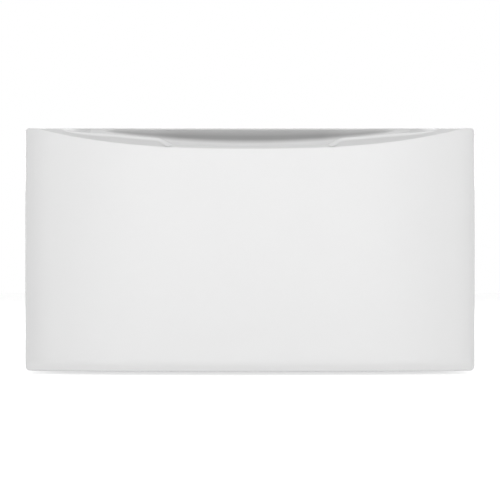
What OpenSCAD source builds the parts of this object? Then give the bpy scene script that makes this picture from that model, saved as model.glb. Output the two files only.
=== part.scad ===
// Washer pedestal with a storage drawer: a folded steel cabinet that carries a laundry
// machine, and a steel drawer on ball-bearing slides behind a bowed, moulded front.
// X runs to the right, Y to the back and Z up. The origin is on the floor, under the
// middle of the whole pedestal. All sizes are in millimetres.

/* [Overall] */
// Width of the drawer front
front_w = 686; // [640:1:760]
// Depth, from the crown of the drawer front to the back of the cabinet
total_d = 711; // [690:1:800]
// Height of the deck above the floor, with the feet screwed right in
total_h = 375; // [350:1:430]
// Gap between the floor and the drawer front
floor_gap = 5; // [3:1:12]

/* [Drawer front] */
// How far the middle of the front stands ahead of its ends
bow = 28; // [18:1:32]
// Depth of the moulding, from its crown to its back edge
front_d = 50; // [46:1:60]
// Wall of the moulding
front_wall = 3; // [2:0.5:3.5]
// Radius of the four corners, seen from the front
corner_r = 5.5; // [4:0.5:12]
// Drop of the slope below the top edge, at the middle of the front
slope_drop = 32.5; // [26:0.5:40]
// Distance from the crown back to the top edge of the finger channel's rear wall
channel_back = 30; // [28:0.5:36]
// Width of the slope in front of the channel, seen from above
slope_w = 12.4; // [8:0.2:16]
// Width of the slope where the hand notch narrows it
notch_slope_w = 4; // [3.5:0.5:7]
// Length of the hand notch along its front
notch_l = 220; // [160:1:260]
// Sideways run of each slanted end of the notch
notch_run = 32; // [15:1:45]
// Depth of the finger channel below the top edge
channel_drop = 62; // [54:1:75]
// Length of the pocket behind the channel's top edge, which gets deeper towards its middle
pocket_l = 486; // [400:2:500]
// Height of the overhanging roof of that pocket, at its middle
pocket_roof_h = 19.5; // [12:0.5:26]
// Gap between the pocket's wall and the steel plate behind it
pocket_gap = 1.8; // [1.5:0.1:3]
// Thickness of the stiffening ribs inside the moulding
rib_t = 2; // [1.5:0.5:3]
// Outer radius of the screw bosses
boss_r = 5; // [4:0.5:7]
// Distance of the outer bosses from the middle
boss_x = 255; // [200:1:270]
// Height of the lower row of bosses above the floor
boss_low_z = 100; // [80:1:130]
// Height between the two rows of bosses
boss_rise = 160; // [120:1:175]

/* [Cabinet] */
// Width of the cabinet over the skirt of its deck
cabinet_w = 680; // [660:1:684]
// Gap between the back of the drawer front and the cabinet
front_gap = 3; // [2:0.5:6]
// Thickness of the deck
deck_t = 1.5; // [1:0.1:2.5]
// Height of the skirt folded down round the deck
skirt_h = 30; // [20:1:34]
// Corner radius of the deck, seen from above
deck_corner_r = 8; // [4:1:16]
// Thickness of the side and back panels
panel_t = 1.2; // [0.8:0.1:1.6]
// Width of the flanges folded round each side panel
flange_w = 20; // [18:0.5:24]
// Depth of the field pressed into the deck and into the back panel
field_dip = 3; // [2:0.5:5]
// Width of the field pressed into the deck
deck_field_w = 500; // [300:1:560]
// Depth, front to back, of the field pressed into the deck
deck_field_d = 190; // [100:1:200]
// Margin round the field pressed into the back panel
back_margin = 50; // [40:1:80]
// Distance between the two hat rails under the deck
hat_pitch = 290; // [270:1:330]
// Width of a hat rail's crown
hat_w = 40; // [30:1:60]
// Depth of a hat rail
hat_h = 22; // [15:1:25]
// Width of each brim of a hat rail
hat_brim = 15; // [10:1:20]
// Height of the front and rear base rails
base_rail_h = 38; // [25:1:40]
// Depth of the base rails, front to back
base_rail_d = 22; // [16:1:40]

/* [Machine fixing] */
// Distance between the left and right machine bolts
bolt_span_x = 570; // [540:1:572]
// Distance between the front and rear machine bolts
bolt_span_y = 480; // [440:1:500]
// Radius of the machine bolt holes
bolt_hole_r = 6.5; // [4:0.5:8]
// Length of each side of a corner plate
corner_plate_w = 62; // [50:1:62]
// Thickness of the corner plates and leg brackets
plate_t = 3; // [2:0.5:4]

/* [Levelling feet] */
// Distance from the cabinet's front and back to the middle of a foot
foot_inset = 90; // [85:1:120]
// Distance from the side panel to the middle of a foot
foot_side = 40; // [36:1:60]
// Radius of the foot's base
foot_r = 20; // [16:1:24]
// Height of the foot's base
foot_h = 9; // [7:1:12]
// How much narrower the top of the foot's base is, all round
foot_taper = 3; // [1:0.5:6]
// Floor of the foot's base under the end of the stud
foot_floor = 3; // [2:0.5:5]
// Radius of the threaded stud
stud_r = 5; // [4:0.5:6]
// Height of the stud above its collar
stud_l = 44; // [40:1:46]
// Radius of the stud's end that is moulded into the base
stud_end_r = 7; // [6.5:0.5:9]
// Wrench size of the collar, the lock nuts and the weld nuts
nut_size = 17; // [15:1:19]
// Height of the collar on the stud
collar_h = 3; // [2:0.5:4]
// Height of a lock nut
lock_nut_h = 5; // [4:0.5:8]
// Height of a weld nut
weld_nut_h = 8; // [6:1:10]
// Radial clearance of the stud in its nuts
thread_play = 0.05; // [0.02:0.01:0.1]
// Width of a leg bracket, front to back
leg_w = 70; // [50:1:90]
// Length of a leg bracket, in from the side panel
leg_l = 75; // [65:1:90]
// Height of a leg bracket's upright
leg_h = 34; // [25:1:60]

/* [Drawer box] */
// Depth of the drawer box
box_d = 562; // [540:1:600]
// Height of the drawer box
box_h = 250; // [200:1:265]
// Height of the drawer box above the floor
box_z = 62; // [60:1:70]
// Thickness of the drawer's steel
box_t = 1.2; // [0.8:0.1:1.6]
// Width of the flange that carries the drawer's bottom
ledge_w = 14; // [10:1:20]
// Width of the hem folded along the drawer's top edge
hem_w = 10; // [6:1:14]
// Drop of the hem's lip
hem_drop = 7; // [4:1:10]
// Number of beads pressed into the drawer's bottom
beads = 5; // [3:1:9]
// Radius of a bead
bead_r = 6; // [4:0.5:8]
// Distance of the beads from the front and the back of the box
bead_end = 50; // [30:1:90]

/* [Drawer slides] */
// Length of the slides
slide_l = 558; // [540:1:560]
// Height of the outer member
slide_h = 45.6; // [44:0.2:50]
// Overall thickness of a slide
slide_t = 12.7; // [12.7:0.1:14]
// Height of the slides' middle above the floor
slide_z = 190; // [150:1:220]
// Thickness of a member's web
web_t = 1.2; // [1:0.1:1.4]
// Thickness of a member's flanges
race_t = 1.8; // [1.6:0.1:2]
// Radius of the balls
ball_r = 1.75; // [1.6:0.05:1.9]
// Depth of the grooves that the balls run in
groove_depth = 0.6; // [0.4:0.1:0.7]
// Clearance round each ball
ball_play = 0.05; // [0.02:0.01:0.1]
// Distance between neighbouring balls
ball_pitch = 40; // [20:1:60]
// Thickness of a ball cage's sheet
cage_t = 0.6; // [0.5:0.1:0.7]
// Length of a ball cage
cage_l = 290; // [200:1:300]
// Steel left between the balls and a cage's edge
cage_rim = 0.8; // [0.5:0.1:1]
// Distance of the balls from the lips of the inner member
ball_set = 2.2; // [2:0.1:2.4]
// How far the outer member's lips stop short of the drawer's side
lip_set = 2.2; // [1.5:0.1:2.6]
// Running gap between the flat faces of the members and cages
slide_gap = 0.4; // [0.3:0.05:0.4]
// Distance of the slides behind the cabinet's front flange
slide_set = 3; // [2:0.5:6]
// Height of the brackets that carry the slides
bracket_h = 64; // [58:1:80]
// Thickness of the slide brackets
bracket_t = 1.5; // [1.2:0.1:2.5]
// How far the drawer slides out
drawer_travel = 500; // [400:1:500]

/* [Release levers] */
// Distance of the lever's pivot from the slide's front end
lever_pivot = 400; // [380:1:440]
// Length of the lever's arm, ahead of its pivot
lever_arm = 42; // [30:1:50]
// Length of the lever's tail, behind its pivot
lever_tail = 16; // [10:1:20]
// Height of the lever
lever_h = 6; // [5:0.5:7]
// Thickness of the lever
lever_t = 3; // [2:0.5:3.5]
// Radius of the lever's boss and of its finger pad
lever_boss_r = 4.5; // [4:0.25:5]
// Radius of the pivot rivet
pivot_r = 2; // [1.5:0.25:2.25]
// How far the pivot rivet's head stands out past its shank
pivot_head = 1.2; // [0.8:0.1:1.5]
// Clearance of the lever on its rivet
pivot_play = 0.06; // [0.02:0.01:0.1]

/* [Fasteners and bumpers] */
// Radius of the screws' and rivets' shanks
shank_r = 2; // [1.5:0.25:2.5]
// Radius of their heads
head_r = 4; // [3.5:0.25:5]
// Height of a screw's head
screw_head_h = 2.4; // [1.5:0.1:3]
// Height of a rivet's head
rivet_head_h = 1.6; // [1:0.1:2]
// Length of the drawer front's screws in their bosses
screw_bite = 14; // [8:1:18]
// Length of the back panel's screws
back_screw_l = 5; // [4:0.5:8]
// Distance of the end rivets from the ends of a slide
rivet_end = 35; // [20:1:60]
// Number of screws down each side of the back panel
back_screws = 4; // [2:1:6]
// Distance of the end screws from the top and the bottom of the back panel
back_screw_end = 42; // [38:1:70]
// Radius of the rubber bumpers behind the drawer front
bumper_r = 6; // [4:0.5:8]
// Height of the lower pair of bumpers
bumper_low_z = 80; // [60:1:120]
// Height between the two pairs of bumpers
bumper_rise = 220; // [150:1:240]

/* [Hidden] */
// Free play where two bodies only meet, such as a bumper and its flange
touch_gap = 0.3;
// Play between a drop-in part and its seat
seat_gap = 0.3;
// Room between the slides and the edge of the cabinet's front flange
flange_gap = 0.5;
// Room between the ends of a cage's run and the end of a member
cage_margin = 5;
// Overshoot of cuts past the faces that they open
over = 1;
arc_fn = 48;
bow_fn = 720;
hex_fn = 6;

// the drawer front
front_y = -total_d / 2;
front_back_y = front_y + front_d;
bow_r = (pow(front_w / 2, 2) + pow(bow, 2)) / (2 * bow);
channel_back_y = front_y + channel_back;
slope_angle = atan2(slope_drop, channel_back);
notch_half = notch_l / 2;
channel_floor_z = total_h - channel_drop;
pocket_d = front_d - box_t - pocket_gap - front_wall - channel_back;
pocket_r = (pow(pocket_l / 2, 2) + pow(pocket_d, 2)) / (2 * pocket_d);
roof_angle = atan2(pocket_d, pocket_roof_h);
function bow_y(x, inset = 0) = front_y + bow_r - sqrt(pow(bow_r - inset, 2) - pow(x, 2));

// the cabinet
cabinet_front_y = front_back_y + front_gap;
cabinet_back_y = total_d / 2;
cabinet_mid_y = (cabinet_front_y + cabinet_back_y) / 2;
side_x = cabinet_w / 2 - deck_t;
side_in_x = side_x - panel_t;
flange_in_x = side_x - flange_w;
side_front_y = cabinet_front_y + deck_t;
side_back_y = cabinet_back_y - deck_t - panel_t;
side_top_z = total_h - deck_t;
leg_z = foot_h + collar_h + touch_gap + lock_nut_h;
cabinet_z = leg_z - panel_t;
foot_x = side_in_x - foot_side;
foot_ys = [cabinet_front_y + foot_inset, cabinet_back_y - foot_inset];
back_screw_x = (side_x + flange_in_x) / 2;
back_screw_step = (side_top_z - cabinet_z - 2 * back_screw_end) / (back_screws - 1);

// the slides, measured inwards from the face of their bracket
bracket_x = flange_in_x - flange_gap;
slide_front_y = side_front_y + panel_t + slide_set;
box_x = bracket_x - slide_t;
race_gap = 2 * (ball_r + ball_play - groove_depth);
outer_half = slide_h / 2;
outer_in_half = outer_half - race_t;
middle_half = outer_in_half - race_gap;
middle_in_half = middle_half - race_t;
inner_half = middle_in_half - race_gap;
inner_in_half = inner_half - race_t;
outer_cage_u = web_t + slide_gap;
middle_u = outer_cage_u + cage_t + slide_gap;
inner_cage_u = middle_u + web_t + slide_gap;
inner_u = inner_cage_u + cage_t + slide_gap;
inner_web_u = slide_t - web_t;
outer_lip_u = slide_t - lip_set;
middle_lip_u = inner_web_u - slide_gap;
ball_u = inner_u + ball_set;
outer_ball_z = outer_in_half - race_gap / 2;
inner_ball_z = middle_in_half - race_gap / 2;
cage_lip_u = ball_u + ball_r + cage_rim;
cage_front = drawer_travel / 4 + cage_margin;
lever_u = inner_web_u - slide_gap - lever_t;
rivet_ys = [rivet_end, slide_l / 2, slide_l - rivet_end];

// the drawer box
box_front_y = front_back_y;
box_back_y = box_front_y + box_d;
floor_z = box_z + box_t;
plate_y = front_back_y - box_t;

// A box given by its two opposite corners
module block(low, high) {
    translate(low) cube(high - low);
}

// A rectangle with round corners, centred on X and running from low to high in Y
module round_field(w, low, high, r) {
    translate([-w / 2 + r, low]) square([w - 2 * r, high - low]);
    translate([-w / 2, low + r]) square([w, high - low - 2 * r]);
    for (x = [r - w / 2, w / 2 - r], y = [low + r, high - r])
        translate([x, y]) circle(r, $fn = arc_fn);
}

// A hexagonal prism of a wrench size
module hex_prism(h) {
    cylinder(h = h, r = nut_size / 2 / cos(30), $fn = hex_fn);
}

// A shape drawn in X and Z, run from one Y to another
module along_y(y0, y1) {
    translate([0, y1, 0]) rotate([90, 0, 0]) linear_extrude(y1 - y0) children();
}

// A child built on the right, or its mirror image on the left
module on_side(side) {
    mirror([side < 0 ? 1 : 0, 0, 0]) children();
}

// ---- drawer front ----

// The area inside the bow, seen from above, drawn in from it by an inset
module bow_disc(inset) {
    translate([0, front_y + bow_r]) circle(bow_r - inset, $fn = bow_fn);
}

// The moulding's outer block, or its hollow when drawn in by the wall
module front_block(inset, back_y) {
    intersection() {
        along_y(front_y, back_y)
            round_field(front_w - 2 * inset, floor_gap + inset, total_h - inset, corner_r - inset / 2);
        linear_extrude(total_h) bow_disc(inset);
    }
}

// Everything above the slope that runs up from the front to the channel's back wall
module slope_cut(grow) {
    run = 2 * channel_back;
    translate([0, channel_back_y, total_h]) rotate([slope_angle, 0, 0])
        block([-front_w / 2 - over, -run, -grow], [front_w / 2 + over, 0, run]);
}

// The finger channel seen from above: it follows the bow, and widens at the hand notch
module channel_plan(grow) {
    end_x = notch_half + notch_run + grow / 2;
    mouth_x = notch_half + grow / 2;
    end_y = bow_y(end_x, slope_w - grow);
    mouth_y = bow_y(mouth_x, notch_slope_w - grow);
    intersection() {
        union() {
            bow_disc(slope_w - grow);
            intersection() {
                bow_disc(notch_slope_w - grow);
                polygon([
                    [-end_x, end_y], [-mouth_x, mouth_y], [-mouth_x, front_y], [mouth_x, front_y],
                    [mouth_x, mouth_y], [end_x, end_y], [end_x, channel_back_y + grow],
                    [-end_x, channel_back_y + grow]
                ]);
            }
        }
        translate([-front_w / 2, front_y]) square([front_w, channel_back + grow]);
    }
}

module channel_cut(grow) {
    translate([0, 0, channel_floor_z - grow]) linear_extrude(channel_drop + grow + over)
        channel_plan(grow);
}

// The pocket behind the channel's top edge: its wall is an arc, and its roof leans forwards
module pocket_cut(grow) {
    intersection() {
        translate([0, 0, channel_floor_z - grow]) linear_extrude(channel_drop + grow)
            intersection() {
                translate([0, channel_back_y + pocket_d - pocket_r])
                    circle(pocket_r + grow, $fn = bow_fn);
                translate([-front_w / 2, channel_back_y - over]) square([front_w, front_d]);
            }
        translate([0, channel_back_y, total_h]) rotate([roof_angle, 0, 0])
            block([-front_w / 2, -2 * channel_drop, -2 * channel_drop], [front_w / 2, grow, front_d]);
    }
}

module boss_places() {
    for (x = [-boss_x, 0, boss_x], z = [boss_low_z, boss_low_z + boss_rise])
        translate([x, plate_y, z]) rotate([90, 0, 0]) children();
}

// The bowed moulding, with its slope, finger channel, ribs and screw bosses
module drawer_front() {
    color("white") difference() {
        union() {
            difference() {
                front_block(0, front_back_y);
                difference() {
                    front_block(front_wall, front_back_y + over);
                    slope_cut(front_wall);
                    channel_cut(front_wall);
                    pocket_cut(front_wall);
                }
            }
            intersection() {
                front_block(front_wall / 2, plate_y);
                union() {
                    for (x = [-boss_x, 0, boss_x])
                        block([x - rib_t / 2, front_y, floor_gap],
                            [x + rib_t / 2, plate_y - boss_r, channel_floor_z]);
                    for (z = [boss_low_z, boss_low_z + boss_rise])
                        block([-front_w / 2, front_y, z - rib_t / 2],
                            [front_w / 2, plate_y - boss_r, z + rib_t / 2]);
                    boss_places() cylinder(h = front_d, r = boss_r, $fn = arc_fn);
                }
            }
        }
        slope_cut(0);
        channel_cut(0);
        pocket_cut(0);
        boss_places() translate([0, 0, -over])
            cylinder(h = screw_bite + over, r = shank_r, $fn = arc_fn);
    }
}

// The steel plate that closes the back of the moulding and is the drawer box's front wall
module drawer_inner_front() {
    inset = front_wall + seat_gap;
    color("gainsboro") difference() {
        along_y(plate_y, front_back_y)
            round_field(front_w - 2 * inset, floor_gap + inset, total_h - inset, corner_r - inset / 2);
        boss_places() translate([0, 0, -box_t - over])
            cylinder(h = box_t + 2 * over, r = shank_r, $fn = arc_fn);
    }
}

// Pan-head screws, driven from inside the drawer into the bosses
module drawer_front_screws() {
    color("silver") boss_places() translate([0, 0, -box_t]) {
        cylinder(h = box_t + screw_bite, r = shank_r, $fn = arc_fn);
        translate([0, 0, -screw_head_h]) cylinder(h = screw_head_h, r = head_r, $fn = arc_fn);
    }
}

// Rubber bumpers on the inner front, each a touch away from the cabinet's front flange
module drawer_bumpers() {
    color("dimgray") for (x = [-back_screw_x, back_screw_x], z = [bumper_low_z, bumper_low_z + bumper_rise])
        translate([x, front_back_y, z]) rotate([-90, 0, 0])
            cylinder(h = front_gap + deck_t - touch_gap, r = bumper_r, $fn = arc_fn);
}

// ---- drawer box ----

// A side wall with a ledge for the bottom and a hemmed top edge, drawn on the right
module box_side() {
    top_z = box_z + box_h;
    difference() {
        union() {
            block([box_x - box_t, box_front_y, box_z], [box_x, box_back_y, top_z]);
            block([box_x - ledge_w, box_front_y, box_z], [box_x, box_back_y, box_z + box_t]);
            block([box_x - hem_w, box_front_y, top_z - box_t], [box_x, box_back_y, top_z]);
            block([box_x - hem_w, box_front_y, top_z - hem_drop],
                [box_x - hem_w + box_t, box_back_y, top_z]);
        }
        for (y = rivet_ys)
            translate([box_x - box_t - over, slide_front_y + y, slide_z]) rotate([0, 90, 0])
                cylinder(h = box_t + 2 * over, r = shank_r, $fn = arc_fn);
    }
}

module drawer_left_side() {
    color("gainsboro") on_side(-1) box_side();
}

module drawer_right_side() {
    color("gainsboro") on_side(1) box_side();
}

// The bottom rests on the ledges, stiffened by half-round beads
module drawer_bottom() {
    half = box_x - box_t;
    bead_y0 = box_front_y + bead_end;
    bead_y1 = box_back_y - bead_end;
    step = 2 * half / (beads + 1);
    bead_xs = [for (i = [1 : beads]) -half + i * step];
    color("gainsboro") difference() {
        union() {
            block([-half, box_front_y, floor_z], [half, box_back_y - box_t, floor_z + box_t]);
            for (x = bead_xs)
                translate([x, bead_y1, floor_z]) rotate([90, 0, 0])
                    cylinder(h = bead_y1 - bead_y0, r = bead_r, $fn = arc_fn);
        }
        for (x = bead_xs)
            translate([x, bead_y1 - box_t, floor_z]) rotate([90, 0, 0])
                cylinder(h = bead_y1 - bead_y0 - 2 * box_t, r = bead_r - box_t, $fn = arc_fn);
        block([-half - over, box_front_y - over, floor_z - bead_r - over],
            [half + over, box_back_y + over, floor_z]);
    }
}

// The back wall stands between the sides, behind the bottom
module drawer_back() {
    half = box_x - box_t;
    top_z = box_z + box_h - hem_drop;
    color("gainsboro") {
        block([-half, box_back_y - box_t, floor_z], [half, box_back_y, top_z]);
        block([-half + hem_w, box_back_y - hem_w, top_z - box_t],
            [half - hem_w, box_back_y, top_z]);
    }
}

// ---- cabinet ----

// A side panel is a tray: flanges are folded in along all four edges
module side_panel() {
    difference() {
        block([flange_in_x, side_front_y, cabinet_z], [side_x, side_back_y, side_top_z]);
        block([flange_in_x - over, side_front_y + panel_t, cabinet_z + panel_t],
            [side_in_x, side_back_y - panel_t, side_top_z - panel_t]);
        back_screw_places() translate([0, 0, -over])
            cylinder(h = 2 * panel_t + 2 * over, r = shank_r, $fn = arc_fn);
    }
}

module left_side_panel() {
    color("white") on_side(-1) side_panel();
}

module right_side_panel() {
    color("white") on_side(1) side_panel();
}

// The screws down both edges of the back panel, pointing forwards from its outer face
module back_screw_places() {
    for (x = [-back_screw_x, back_screw_x], i = [0 : back_screws - 1])
        translate([x, side_back_y + panel_t, cabinet_z + back_screw_end + i * back_screw_step])
            rotate([90, 0, 0]) children();
}

// The back panel has a field pressed forwards, and lies on the side panels' rear flanges
module back_panel() {
    half = flange_in_x - back_margin;
    low = cabinet_z + back_margin;
    high = side_top_z - back_margin;
    color("silver") difference() {
        union() {
            block([-side_x, side_back_y, cabinet_z], [side_x, side_back_y + panel_t, side_top_z]);
            block([-half, side_back_y - field_dip, low], [half, side_back_y + panel_t, high]);
        }
        block([-half + panel_t, side_back_y - field_dip + panel_t, low + panel_t],
            [half - panel_t, side_back_y + panel_t + over, high - panel_t]);
        back_screw_places() translate([0, 0, -over])
            cylinder(h = 2 * panel_t + 2 * over, r = shank_r, $fn = arc_fn);
    }
}

module back_panel_screws() {
    color("silver") back_screw_places() {
        cylinder(h = back_screw_l, r = shank_r, $fn = arc_fn);
        translate([0, 0, -deck_t]) cylinder(h = deck_t, r = head_r, $fn = arc_fn);
    }
}

// The four holes that bolt the machine down
module bolt_places() {
    for (x = [-bolt_span_x / 2, bolt_span_x / 2], y = [-bolt_span_y / 2, bolt_span_y / 2])
        translate([x, cabinet_mid_y + y, 0]) children();
}

// The deck caps the cabinet like a lid, with a field pressed down between the hat rails
module top_deck() {
    field_y0 = cabinet_mid_y - deck_field_d / 2;
    field_y1 = cabinet_mid_y + deck_field_d / 2;
    color("white") difference() {
        union() {
            difference() {
                translate([0, 0, total_h - skirt_h]) linear_extrude(skirt_h)
                    round_field(cabinet_w, cabinet_front_y, cabinet_back_y, deck_corner_r);
                block([-side_x, side_front_y, total_h - skirt_h - over],
                    [side_x, cabinet_back_y - deck_t, side_top_z]);
            }
            block([-deck_field_w / 2, field_y0, side_top_z - field_dip],
                [deck_field_w / 2, field_y1, side_top_z]);
        }
        block([-deck_field_w / 2 + deck_t, field_y0 + deck_t, total_h - field_dip],
            [deck_field_w / 2 - deck_t, field_y1 - deck_t, total_h + over]);
        bolt_places() translate([0, 0, side_top_z - over])
            cylinder(h = deck_t + 2 * over, r = bolt_hole_r, $fn = arc_fn);
    }
}

// Two hat rails carry the deck between the side panels
module deck_hat_rails() {
    half = hat_w / 2;
    edge = half + hat_brim;
    color("silver") for (y = [-hat_pitch / 2, hat_pitch / 2])
        translate([-flange_in_x + seat_gap, cabinet_mid_y + y, side_top_z])
            rotate([90, 0, 90]) linear_extrude(2 * (flange_in_x - seat_gap)) difference() {
                polygon([[-edge, 0], [edge, 0], [edge, -panel_t], [half, -panel_t], [half, -hat_h],
                    [-half, -hat_h], [-half, -panel_t], [-edge, -panel_t]]);
                translate([-half + panel_t, -hat_h + panel_t]) square([hat_w - 2 * panel_t, hat_h]);
            }
}

module deck_corner_plates() {
    half = corner_plate_w / 2;
    color("silver") difference() {
        bolt_places() block([-half, -half, side_top_z - plate_t], [half, half, side_top_z]);
        bolt_places() translate([0, 0, side_top_z - plate_t - over])
            cylinder(h = plate_t + 2 * over, r = bolt_hole_r, $fn = arc_fn);
    }
}

// A channel across the base, resting on the side panels' bottom flanges, open to the middle
module base_rail() {
    low = cabinet_z + panel_t;
    difference() {
        block([-side_in_x, 0, low], [side_in_x, base_rail_d, low + base_rail_h]);
        block([-side_in_x - over, panel_t, low + panel_t],
            [side_in_x + over, base_rail_d + over, low + base_rail_h - panel_t]);
    }
}

module base_front_rail() {
    color("silver") translate([0, side_front_y + panel_t, 0]) base_rail();
}

module base_rear_rail() {
    color("silver") translate([0, side_back_y - panel_t, 0]) mirror([0, 1, 0]) base_rail();
}

// ---- levelling feet ----

module foot_places() {
    for (side = [-1, 1], y = foot_ys) foot_place(side, y) children();
}

module foot_place(side, y) {
    on_side(side) translate([foot_x, y, 0]) children();
}

// Each leg bracket lies on the side panel's bottom flange and stands up against its wall
module leg_brackets() {
    color("silver") foot_places() difference() {
        union() {
            block([foot_side - leg_l, -leg_w / 2, leg_z], [foot_side, leg_w / 2, leg_z + plate_t]);
            block([foot_side - plate_t, -leg_w / 2, leg_z], [foot_side, leg_w / 2, leg_z + leg_h]);
        }
        translate([0, 0, leg_z - over])
            cylinder(h = plate_t + 2 * over, r = stud_r + thread_play, $fn = arc_fn);
    }
}

module foot_nut(z, h) {
    translate([0, 0, z]) difference() {
        hex_prism(h);
        translate([0, 0, -over]) cylinder(h = h + 2 * over, r = stud_r + thread_play, $fn = arc_fn);
    }
}

module weld_nuts() {
    color("silver") foot_places() foot_nut(leg_z + plate_t, weld_nut_h);
}

module lock_nuts() {
    color("silver") foot_places() foot_nut(leg_z - lock_nut_h, lock_nut_h);
}

// The tapered base of a foot, moulded round the end of the stud
module foot_base(side, y) {
    color("dimgray") foot_place(side, y) difference() {
        cylinder(h = foot_h, r1 = foot_r, r2 = foot_r - foot_taper, $fn = arc_fn);
        translate([0, 0, foot_floor]) cylinder(h = foot_h, r = stud_end_r, $fn = arc_fn);
    }
}

// The stud, with its wrench collar and the broad end that the base holds
module foot_stud(side, y) {
    color("silver") foot_place(side, y) {
        translate([0, 0, foot_floor])
            cylinder(h = foot_h - foot_floor, r = stud_end_r, $fn = arc_fn);
        translate([0, 0, foot_h]) hex_prism(collar_h);
        translate([0, 0, foot_h]) cylinder(h = collar_h + stud_l, r = stud_r, $fn = arc_fn);
    }
}

module front_left_foot_base() { foot_base(-1, foot_ys[0]); }
module front_right_foot_base() { foot_base(1, foot_ys[0]); }
module rear_left_foot_base() { foot_base(-1, foot_ys[1]); }
module rear_right_foot_base() { foot_base(1, foot_ys[1]); }
module front_left_foot_stud() { foot_stud(-1, foot_ys[0]); }
module front_right_foot_stud() { foot_stud(1, foot_ys[0]); }
module rear_left_foot_stud() { foot_stud(-1, foot_ys[1]); }
module rear_right_foot_stud() { foot_stud(1, foot_ys[1]); }

// ---- slides ----

// A section drawn inwards (u) and up (z) from the bracket's face, run along a slide
module slide_run(side, from, length) {
    on_side(side) translate([bracket_x, slide_front_y + from + length, slide_z])
        rotate([90, 0, 0]) mirror([1, 0, 0]) linear_extrude(length) children();
}

module race_pair(u, z) {
    for (s = [-1, 1]) translate([u, s * z]) circle(ball_r + ball_play, $fn = arc_fn);
}

// A channel section from one u to another, open towards the drawer
module channel_section(u0, u1, half) {
    difference() {
        translate([u0, -half]) square([u1 - u0, 2 * half]);
        translate([u0 + web_t, race_t - half]) square([u1 - u0, 2 * (half - race_t)]);
    }
}

module slide_outer(side) {
    color("silver") difference() {
        slide_run(side, 0, slide_l) difference() {
            channel_section(0, outer_lip_u, outer_half);
            race_pair(ball_u, outer_ball_z);
        }
        rivet_places(side) translate([0, 0, -over])
            cylinder(h = web_t + 2 * over, r = shank_r, $fn = arc_fn);
    }
}

module slide_middle(side) {
    color("lightgray") slide_run(side, 0, slide_l) difference() {
        channel_section(middle_u, middle_lip_u, middle_half);
        race_pair(ball_u, outer_ball_z);
        race_pair(ball_u, inner_ball_z);
    }
}

// The inner member opens towards the middle one, its web lies on the drawer's side, and the
// release lever's rivet stands on the web
module slide_inner(side) {
    color("silver") {
        difference() {
            slide_run(side, 0, slide_l) difference() {
                translate([slide_t + inner_u, 0]) mirror([1, 0, 0])
                    channel_section(inner_u, slide_t, inner_half);
                race_pair(ball_u, inner_ball_z);
            }
            rivet_places(side) translate([0, 0, inner_web_u - over])
                cylinder(h = web_t + 2 * over, r = shank_r, $fn = arc_fn);
        }
        pivot_place(side) translate([0, 0, lever_u - touch_gap]) {
            cylinder(h = inner_web_u - lever_u + touch_gap, r = pivot_r, $fn = arc_fn);
            translate([0, 0, -web_t]) cylinder(h = web_t, r = pivot_r + pivot_head, $fn = arc_fn);
        }
    }
}

module left_slide_outer() { slide_outer(-1); }
module right_slide_outer() { slide_outer(1); }
module left_slide_middle() { slide_middle(-1); }
module right_slide_middle() { slide_middle(1); }
module left_slide_inner() { slide_inner(-1); }
module right_slide_inner() { slide_inner(1); }

// The places of the balls along a cage, from the slide's front end
ball_count = floor((cage_l - 2 * ball_r) / ball_pitch);
ball_ys = [for (i = [0 : ball_count - 1])
    cage_front + (cage_l - (ball_count - 1) * ball_pitch) / 2 + i * ball_pitch];

module ball_places(side, z) {
    on_side(side) for (y = ball_ys, s = [-1, 1])
        translate([bracket_x - ball_u, slide_front_y + y, slide_z + s * z]) children();
}

// A cage is a folded strip whose two lips hold the balls between two members
module ball_cage(side, u, z) {
    color("gold") difference() {
        slide_run(side, cage_front, cage_l) difference() {
            translate([u, -z - cage_t / 2]) square([cage_lip_u - u, 2 * z + cage_t]);
            translate([u + cage_t, -z + cage_t / 2]) square([cage_lip_u - u, 2 * z - cage_t]);
        }
        ball_places(side, z) translate([0, 0, -over])
            cylinder(h = 2 * over, r = ball_r + ball_play, $fn = arc_fn);
    }
}

module balls(side, z) {
    color("dimgray") ball_places(side, z) sphere(ball_r, $fn = arc_fn);
}

module left_outer_cage() { ball_cage(-1, outer_cage_u, outer_ball_z); }
module right_outer_cage() { ball_cage(1, outer_cage_u, outer_ball_z); }
module left_inner_cage() { ball_cage(-1, inner_cage_u, inner_ball_z); }
module right_inner_cage() { ball_cage(1, inner_cage_u, inner_ball_z); }
module left_outer_balls() { balls(-1, outer_ball_z); }
module right_outer_balls() { balls(1, outer_ball_z); }
module left_inner_balls() { balls(-1, inner_ball_z); }
module right_inner_balls() { balls(1, inner_ball_z); }

// The bracket is a channel between the side panel and the slide
module slide_bracket(side) {
    length = slide_l + 2 * slide_set;
    low = slide_z - bracket_h / 2;
    high = slide_z + bracket_h / 2;
    y0 = slide_front_y - slide_set;
    color("silver") difference() {
        on_side(side) difference() {
            block([bracket_x, y0, low], [side_in_x, y0 + length, high]);
            block([bracket_x + bracket_t, y0 - over, low + bracket_t],
                [side_in_x + over, y0 + length + over, high - bracket_t]);
        }
        rivet_places(side) translate([0, 0, -bracket_t - over])
            cylinder(h = bracket_t + 2 * over, r = shank_r, $fn = arc_fn);
    }
}

module left_slide_bracket() { slide_bracket(-1); }
module right_slide_bracket() { slide_bracket(1); }

// Rivet axes through a slide, pointing inwards from the bracket's face
module rivet_places(side) {
    on_side(side) for (y = rivet_ys)
        translate([bracket_x, slide_front_y + y, slide_z]) rotate([0, -90, 0]) children();
}

// Each rivet holds an outer member to its bracket, with its head inside the bracket
module bracket_rivets() {
    color("silver") for (side = [-1, 1]) rivet_places(side) {
        translate([0, 0, -bracket_t]) cylinder(h = bracket_t + web_t, r = shank_r, $fn = arc_fn);
        translate([0, 0, -bracket_t - rivet_head_h])
            cylinder(h = rivet_head_h, r = head_r, $fn = arc_fn);
    }
}

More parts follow.
